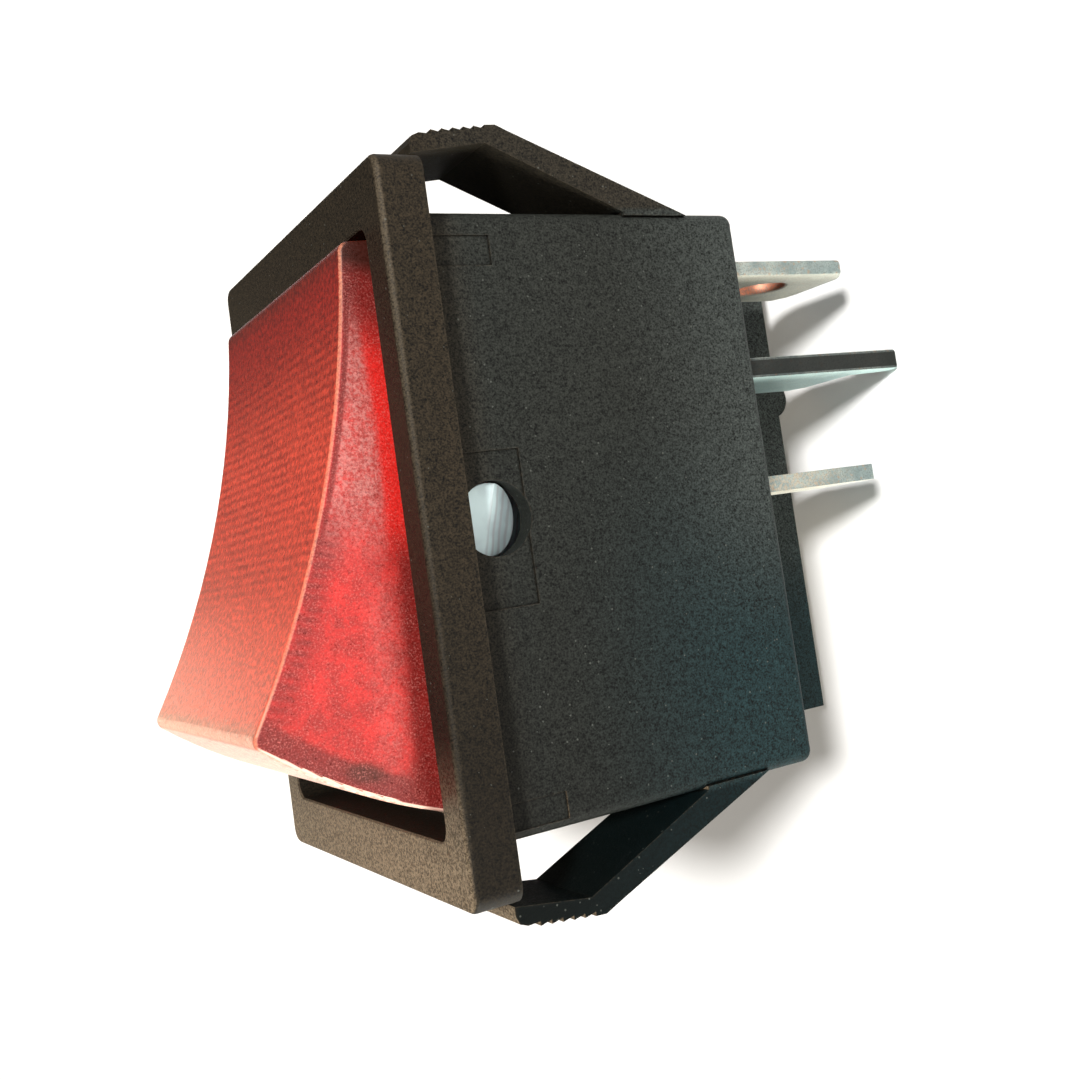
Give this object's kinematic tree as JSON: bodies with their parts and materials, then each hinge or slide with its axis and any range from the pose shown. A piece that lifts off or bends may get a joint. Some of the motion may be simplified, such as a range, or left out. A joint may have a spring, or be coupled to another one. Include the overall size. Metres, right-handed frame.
{
  "type": "panel rocker switch",
  "caption": "Snap-in panel rocker switch: black housing with flange and spring wings, red translucent dished rocker, blade terminals behind.",
  "frame": {"origin": "centre of the flange's rear face, where it rests on the front of the panel", "axes": "+Z out of the panel towards the rocker; +Y along the flange, towards the end that is pressed in at rest; +X across the flange"},
  "size_m": [0.0244, 0.0346, 0.0367],
  "materials": {
    "housing_plastic": "fine moulded texture, black nylon",
    "lens_plastic": "translucent red polycarbonate, dulled by fine scratches",
    "carrier_plastic": "white nylon",
    "plunger_plastic": "natural acetal",
    "spring_steel": "bright drawn wire",
    "contact_copper": "rolled copper alloy strip",
    "contact_silver": "silver alloy, dull",
    "blade_plating": "silver plated brass, slightly tarnished",
    "lamp_blade_plating": "tin plated brass, dull",
    "rivet_brass": "turned brass",
    "lamp_glass": "clear glass",
    "lead_wire": "tinned wire",
    "resistor_coating": "lacquered film resistor without bands"
  },
  "bodies": {
    "housing": {"housing": "housing_plastic", "common_terminal_near": "blade_plating", "common_terminal_far": "blade_plating", "load_terminal_near": "blade_plating", "load_terminal_far": "blade_plating", "fixed_contact_near": "contact_silver", "fixed_contact_far": "contact_silver", "lamp_terminal_near": "lamp_blade_plating", "lamp_terminal_far": "lamp_blade_plating", "lamp_spring_near": "spring_steel", "lamp_spring_far": "spring_steel"},
    "rocker": {"rocker_lens": "lens_plastic", "carrier": "carrier_plastic", "plunger_spring_near": "spring_steel", "plunger_spring_far": "spring_steel", "lamp_rivet_near": "rivet_brass", "lamp_rivet_far": "rivet_brass", "neon_lamp": "lamp_glass", "neon_lead_near": "lead_wire", "neon_lead_far": "lead_wire", "resistor_body": "resistor_coating", "resistor_lead": "lead_wire"},
    "plunger_near": {"plunger_near": "plunger_plastic"},
    "contact_bar_near": {"contact_bar_near": "contact_copper", "moving_contact_near": "contact_silver"},
    "plunger_far": {"plunger_far": "plunger_plastic"},
    "contact_bar_far": {"contact_bar_far": "contact_copper", "moving_contact_far": "contact_silver"}
  },
  "joints": [
    {"name": "rocker_hinge", "type": "hinge", "parent": "housing", "child": "rocker", "pos_m": [0, 0, -0.00175], "axis": [1, 0, 0], "range_deg": [0, 34.5], "deforming": ["lamp_spring_near", "lamp_spring_far"]},
    {"name": "plunger_slide_near", "type": "slide", "parent": "rocker", "child": "plunger_near", "axis": [0, 0.2965, 0.955], "range_m": [0, 0.0007], "stiffness_N_per_m": 60, "deforming": ["plunger_spring_near"]},
    {"name": "contact_bar_hinge_near", "type": "hinge", "parent": "housing", "child": "contact_bar_near", "pos_m": [0.00615, 0, -0.01285], "axis": [1, 0, 0], "range_deg": [-12, 0]},
    {"name": "plunger_slide_far", "type": "slide", "parent": "rocker", "child": "plunger_far", "axis": [0, 0.2965, 0.955], "range_m": [0, 0.0007], "stiffness_N_per_m": 60, "deforming": ["plunger_spring_far"]},
    {"name": "contact_bar_hinge_far", "type": "hinge", "parent": "housing", "child": "contact_bar_far", "pos_m": [-0.00615, 0, -0.01285], "axis": [1, 0, 0], "range_deg": [-12, 0]}
  ],
  "couplings": [
    {"joint": "contact_bar_hinge_near", "follows": "rocker_hinge", "ratio": -0.34783},
    {"joint": "contact_bar_hinge_far", "follows": "rocker_hinge", "ratio": -0.34783}
  ]
}
